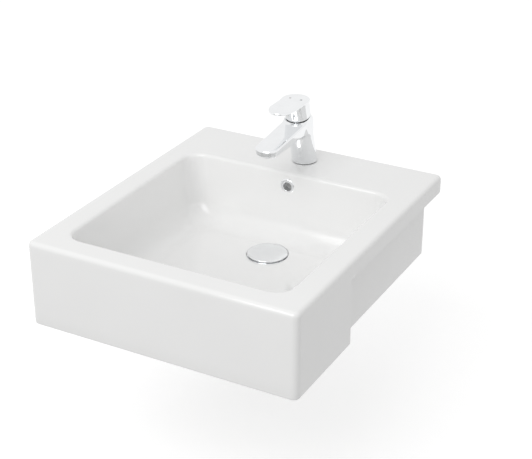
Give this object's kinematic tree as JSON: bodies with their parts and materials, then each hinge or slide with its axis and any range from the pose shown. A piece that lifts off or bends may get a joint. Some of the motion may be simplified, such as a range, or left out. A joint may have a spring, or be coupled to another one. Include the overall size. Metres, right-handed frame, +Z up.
{
  "type": "semi recessed basin",
  "caption": "Semi recessed ceramic wash basin with a rectangular bowl, tap deck and overflow, fitted with a single-lever mixer tap and a push-open waste.",
  "frame": {"origin": "centre of the rear seat strip, on the plane where the rim rests on the worktop", "axes": "+Z up, +Y to the back along the basin's depth, +X to the right as seen from the front"},
  "size_m": [0.48, 0.552, 0.3327],
  "materials": {
    "glazed_white": "gloss",
    "chrome": "polished",
    "brass": "satin",
    "rubber": "matt",
    "plastic": "matt",
    "dark_plastic": "matt",
    "steel": "brushed",
    "ceramic_disc": "polished",
    "hot_colour": "gloss",
    "cold_colour": "gloss"
  },
  "bodies": {
    "base": {"basin": "glazed_white", "overflow_ring": "chrome", "waste_body": "chrome", "waste_flange_gasket": "rubber", "waste_boss_seal": "rubber", "waste_slip_washer": "plastic", "waste_backnut": "brass", "plunger_guide": "plastic", "plunger_spring": "steel", "tap_body": "chrome", "tap_base_seal": "rubber", "mounting_stud": "steel", "horseshoe_gasket": "rubber", "horseshoe_washer": "steel", "stud_nut": "brass", "aerator_housing": "chrome", "aerator_insert": "plastic", "aerator_seal": "rubber", "cartridge_base": "plastic", "cartridge_shell": "plastic", "cartridge_port_seals": "rubber", "cartridge_nut": "brass", "cartridge_o_ring": "rubber", "fixed_disc": "ceramic_disc", "dome_collar": "dark_plastic"},
    "swivel": {"cartridge_rotor": "plastic", "pivot_pin": "steel"},
    "lever": {"cartridge_stem": "brass", "handle": "chrome", "handle_grub_screw": "steel", "hot_mark": "hot_colour", "cold_mark": "cold_colour"},
    "disc": {"moving_disc": "ceramic_disc", "disc_carrier": "plastic"},
    "plug": {"waste_cap": "chrome", "waste_cap_seal": "rubber", "plunger_stem": "steel"}
  },
  "joints": [
    {"name": "tap_swivel", "type": "hinge", "parent": "base", "child": "swivel", "pos_m": [0, -0.07743, 0.12698], "axis": [0, -0.284, 0.9588], "range_deg": [-45, 45]},
    {"name": "lever_tilt", "type": "hinge", "parent": "swivel", "child": "lever", "pos_m": [0, -0.07459, 0.11739], "axis": [-1, 0, 0], "range_deg": [0, 22]},
    {"name": "disc_slide", "type": "slide", "parent": "swivel", "child": "disc", "axis": [0, -0.9588, -0.284], "range_m": [0, 0.00432]},
    {"name": "plug_lift", "type": "slide", "parent": "base", "child": "plug", "axis": [0, 0, 1], "range_m": [0, 0.008], "deforming": ["plunger_spring"]}
  ],
  "couplings": [
    {"joint": "disc_slide", "follows": "lever_tilt", "m_per_rad": 0.01122}
  ]
}
